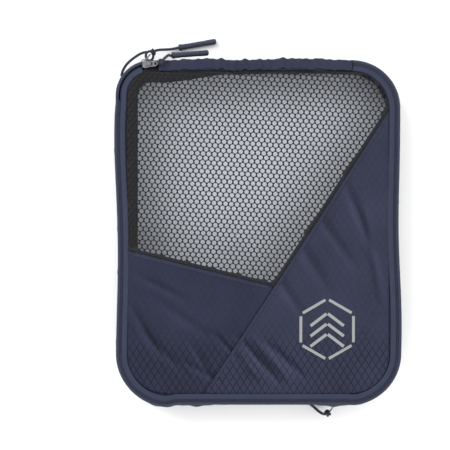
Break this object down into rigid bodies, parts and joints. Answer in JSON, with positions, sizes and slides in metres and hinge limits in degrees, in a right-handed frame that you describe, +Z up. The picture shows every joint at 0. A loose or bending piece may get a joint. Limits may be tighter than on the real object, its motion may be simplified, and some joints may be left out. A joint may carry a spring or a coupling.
{
  "type": "packing cube",
  "caption": "Flat zipped fabric travel organiser with a net window lid, an expansion pleat with its own zip, and corded zip pullers.",
  "frame": {"origin": "centre of the back panel's underside, on the surface the case lies on", "axes": "+X across the case, +Y along its length towards the lid's hinge side, +Z up through the lid"},
  "size_m": [0.2492, 0.3349, 0.0503],
  "materials": {
    "navy_ripstop": "navy ripstop nylon, satin",
    "black_mesh": "black knitted polyester net",
    "navy_tape": "woven navy zip tape and binding",
    "navy_coil": "nylon coil",
    "slider_metal": "die-cast zinc, gunmetal",
    "navy_cord": "braided polyester cord",
    "grip_rubber": "moulded ribbed rubber"
  },
  "bodies": {
    "base": {"back_panel": "navy_ripstop", "back_seam_binding": "navy_tape", "lower_side_wall": "navy_ripstop", "compression_lower_tape": "navy_tape", "compression_lower_coil": "navy_coil"},
    "upper": {"compression_upper_coil": "navy_coil", "compression_upper_tape": "navy_tape", "upper_side_wall": "navy_ripstop", "main_zip_lower_tape": "navy_tape", "main_zip_lower_coil": "navy_coil", "expansion_gusset": "navy_ripstop", "hinge_gusset": "navy_ripstop"},
    "lid": {"lid_zip_coil": "navy_coil", "lid_zip_tape": "navy_tape", "lid_mesh_window": "black_mesh", "lid_right_panel": "navy_ripstop", "lid_corner_panel": "navy_ripstop", "lid_long_seam_binding": "navy_tape", "lid_short_seam_binding": "navy_tape", "lid_edge_binding": "navy_tape"},
    "main_slider": {"main_slider": "slider_metal"},
    "main_puller": {"main_pull_tab": "slider_metal", "main_pull_cord": "navy_cord", "main_pull_grip": "grip_rubber"},
    "corner_slider": {"corner_slider": "slider_metal"},
    "corner_puller": {"corner_pull_tab": "slider_metal", "corner_pull_cord": "navy_cord", "corner_cord_tail": "navy_cord", "corner_pull_grip": "grip_rubber"},
    "bottom_slider": {"bottom_slider": "slider_metal"},
    "bottom_puller": {"bottom_pull_tab": "slider_metal", "bottom_pull_cord": "navy_cord", "bottom_pull_grip": "grip_rubber"}
  },
  "joints": [
    {"name": "expansion", "type": "slide", "parent": "base", "child": "upper", "axis": [0, 0, 1], "range_m": [0, 0.035], "deforming": ["expansion_gusset"]},
    {"name": "lid_hinge", "type": "hinge", "parent": "upper", "child": "lid", "pos_m": [0, 0.152, 0.039], "axis": [-1, 0, 0], "range_deg": [0, 180], "deforming": ["hinge_gusset"]},
    {"name": "main_slider_travel", "type": "hinge", "parent": "upper", "child": "main_slider", "pos_m": [-0.0936, 0.1197, 0.0367], "axis": [0, 0, 1], "range_deg": [0, 80]},
    {"name": "main_puller_swing", "type": "hinge", "parent": "main_slider", "child": "main_puller", "pos_m": [-0.0955, 0.14683, 0.03985], "axis": [0.0698, -0.9976, 0], "range_deg": [0, 150]},
    {"name": "corner_slider_travel", "type": "hinge", "parent": "base", "child": "corner_slider", "pos_m": [-0.0936, 0.1197, 0.016], "axis": [0, 0, 1], "range_deg": [0, 55]},
    {"name": "corner_puller_swing", "type": "hinge", "parent": "corner_slider", "child": "corner_puller", "pos_m": [-0.09977, 0.15146, 0.016], "axis": [0, 0, 1], "range_deg": [0, 12]},
    {"name": "bottom_slider_travel", "type": "slide", "parent": "base", "child": "bottom_slider", "axis": [-1, 0, 0], "range_m": [0, 0.13]},
    {"name": "bottom_puller_swing", "type": "hinge", "parent": "bottom_slider", "child": "bottom_puller", "pos_m": [0.0685, -0.15205, 0.016], "axis": [0, 0, 1], "range_deg": [0, 110]}
  ]
}
